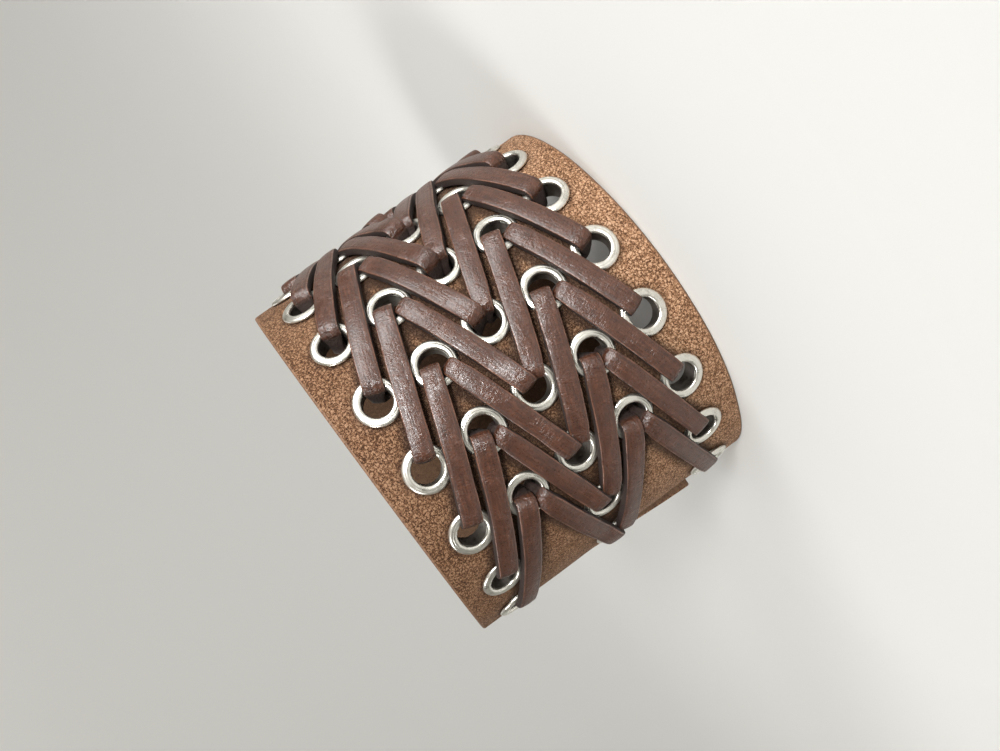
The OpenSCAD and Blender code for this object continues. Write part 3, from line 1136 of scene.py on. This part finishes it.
def makeLace(name, spec, seed):
    rows = laceCourse(spec)
    angle = angleAt(rows[:, 0])
    middle = onStrip(angle, rows[:, 1], rows[:, 2])

    # Heading turns over smoothly where the lace passes through a throat
    reach = 4  # rings, either way
    window = np.hanning(2 * reach + 1)
    window = window / window.sum()
    heading = np.convolve(np.pad(rows[:, 3], reach, "edge"), window, "valid")

    travel = np.concatenate(
        [[0.0], np.cumsum(np.linalg.norm(np.diff(middle, axis=0), axis=1))])
    tangent = np.gradient(middle, axis=0)
    tangent = tangent / np.linalg.norm(tangent, axis=1, keepdims=True)
    acrossWay = turnToStrip(angle, -np.sin(heading), np.cos(heading), 0.0)
    normal = np.cross(acrossWay, tangent)
    normal = normal / np.linalg.norm(normal, axis=1, keepdims=True)
    acrossWay = np.cross(tangent, normal)
    wander = lace["rollWander"] * slowWave(travel, 0.0, lace["rollSize"], seed)
    roll = np.radians(rows[:, 6] + wander)[:, None]
    rolledAcross = acrossWay * np.cos(roll) + normal * np.sin(roll)
    rolledNormal = normal * np.cos(roll) - acrossWay * np.sin(roll)

    side, top, sideRound, topRound, shadeAndRimLevels = laceSection().T
    uneven = 1 + lace["widthWander"] * slowWave(travel, 0.0, lace["widthSize"], seed + 1)
    halfWide = (rows[:, 4] / 2 * uneven)[:, None]
    halfThick = rows[:, 5][:, None] / 2
    crown = lace["crown"] * (1 - side ** 2) * (top > 0)
    x = halfWide * side + lace["cornerRound"] * sideRound
    y = halfThick * top + lace["cornerRound"] * topRound + crown
    points = middle[:, None, :] + x[..., None] * rolledAcross[:, None, :] \
        + y[..., None] * rolledNormal[:, None, :]

    ringCount, sideCount = points.shape[:2]
    faces = tubeFaces(ringCount, sideCount) + endFaces(ringCount, sideCount)
    piece = makePiece(name.replace("lace", "flat_lace"), points, faces, [laceLeather])
    piece.data.flip_normals()

    # Flat map in millimetres: along the lace, and round its section
    girth = np.concatenate([[0.0], np.cumsum(np.hypot(
        np.diff(x[0]), np.diff(y[0])))]) / mm
    along = np.broadcast_to((travel / mm)[:, None], (ringCount, sideCount)).ravel()
    across = np.broadcast_to(girth[None, :], (ringCount, sideCount)).ravel()
    mapLayer = piece.data.uv_layers.new(name="laceMap")
    corners = np.zeros(len(piece.data.loops), int)
    piece.data.loops.foreach_get("vertex_index", corners)
    apart = 400.0 * seed  # so that no two laces share a stretch of the pattern
    flat = np.stack([along[corners] + apart, across[corners]], axis=-1)
    mapLayer.data.foreach_set("uv", flat.ravel().astype(np.float32))
    turning = np.linalg.norm(np.gradient(tangent, axis=0), axis=1) \
        / np.linalg.norm(np.gradient(middle, axis=0), axis=1)
    near = np.exp(-((travel[:, None] - travel[None, :]) / lace["puckerReach"]) ** 2)
    bent = (near * np.clip(turning * lace["puckerBend"], 0, 1)[None, :]).max(axis=1)
    least = lace["puckerLeast"]
    bending = piece.data.attributes.new("bending", "FLOAT", "POINT")
    bending.data.foreach_set("value", np.repeat(least + (1 - least) * bent, sideCount))
    paintedShadeAndRim = piece.data.attributes.new("paintedShadeAndRim", "FLOAT", "POINT")
    # Painted shade where the lace goes down into a hole
    (high, low), fade = lace["holeShadeHeights"], lace["holeShadeFade"]
    holeShade = softStep((high - rows[:, 2]) / fade) * (1 - softStep((low - rows[:, 2]) / fade))
    holeShade = holeShade[:, None]
    shadeAndRimValues = shadeAndRimLevels * (1 - holeShade) - holeShade
    paintedShadeAndRim.data.foreach_set("value", shadeAndRimValues.ravel())
    piece.data.set_sharp_from_angle(angle=math.radians(60))
    keep(piece, [name])
    print(name, "made,", round(travel[-1] / mm), "mm long")


for laceSeed, (laceName, laceSpec) in enumerate(laceCourses.items(), 1):
    makeLace(laceName, laceSpec, laceSeed)


# Floor and light

studio = {
    "floorColour": "#d6d6d3",
    "skyColour": "#f1ece3",
    "skyWay": (0.4, -0.9, 0.15),   # where the sky is brightest
    "skyStrength": (0.63, 0.16),   # there, and on the far side
    "skyRange": (0.85, -0.2),      # cosines off that way between which it fades
    "floorHalf": 2.5,
    "curl": 0.6,                   # how high its other three sides curl up
    "sweepFrom": 0.15,
    "sweepRadius": 1.1,
    "backHeight": 2.0,
    "lights": [
        # name, place, aim, width, strength in watts, spread in degrees
        ("windowLight", (0.62, -0.42, 0.16), (0.0, -0.02, 0.03), 0.5, 5.7, 180),
        ("frontLight", (0.22, -0.74, 0.26), (0.0, -0.03, 0.03), 0.16, 0.44, 50),
        ("sideLight", (-0.55, -0.25, 0.70), (-0.02, -0.02, 0.03), 0.35, 0.22, 40),
        ("backLight", (0.10, 0.70, 1.10), (0.0, 0.2, 0.0), 1.4, 4.8, 180),
    ],
}


def makeFloor():
    # A pale sheet that lies under the cuff, sweeps up behind it and curls up far off
    # on its other sides, so that no view looks past its end
    half, start, radius = studio["floorHalf"], studio["sweepFrom"], studio["sweepRadius"]
    turned = np.linspace(0, math.pi / 2, 13)
    curled = [(half + studio["curl"] * math.sin(t), studio["curl"] * (1 - math.cos(t)))
              for t in turned]
    line = [(-y, z) for y, z in reversed(curled)] + [
        (start + radius * math.sin(t), radius * (1 - math.cos(t))) for t in turned]
    line.append((start + radius, studio["backHeight"]))
    across = [(-x, rise) for x, rise in reversed(curled)] + curled
    points = np.array([[x, y, z + rise] for y, z in line for x, rise in across])
    count = len(across)
    faces = [(count * j + i, count * j + i + 1, count * (j + 1) + i + 1, count * (j + 1) + i)
             for j in range(len(line) - 1) for i in range(count - 1)]
    # Uncoated, so it has hardly any gloss
    matPaper = newMaterial("matPaper", {
        "Base Color": linearColour(studio["floorColour"]), "Roughness": 0.9,
        "Specular IOR Level": 0.15,
    })[0]
    floor = makePiece("floor", points, faces, [matPaper])


def makeLights():
    for name, place, aim, width, strength, spread in studio["lights"]:
        data = bpy.data.lights.new(name, "AREA")
        data.shape = "DISK"
        data.size = width
        data.energy = strength
        data.spread = math.radians(spread)
        light = addObject(name, data)
        light.location = place
        toAim = Vector(aim) - Vector(place)
        light.rotation_euler = toAim.to_track_quat("-Z", "Y").to_euler()
    world = bpy.data.worlds.new("softSky")
    world.use_nodes = True
    tree = world.node_tree
    background = tree.nodes["Background"]
    way = addNode(tree, "TexCoord", output="Generated")
    ahead = addNode(tree, "VectorMath", {
        0: way, 1: studio["skyWay"],
    }, operation="DOT_PRODUCT", output="Value")
    (front, back), (bright, dim) = studio["skyStrength"], studio["skyRange"]
    strength = addNode(tree, "MapRange", {
        "Value": ahead, "From Min": dim, "From Max": bright, "To Min": back, "To Max": front,
    }, interpolation_type="SMOOTHSTEP")
    setInputs(tree, background, {
        "Color": linearColour(studio["skyColour"]), "Strength": strength,
    })
    bpy.context.scene.world = world


makeFloor()
makeLights()
bpy.context.scene.view_settings.view_transform = "Standard"
print("floor and light made")
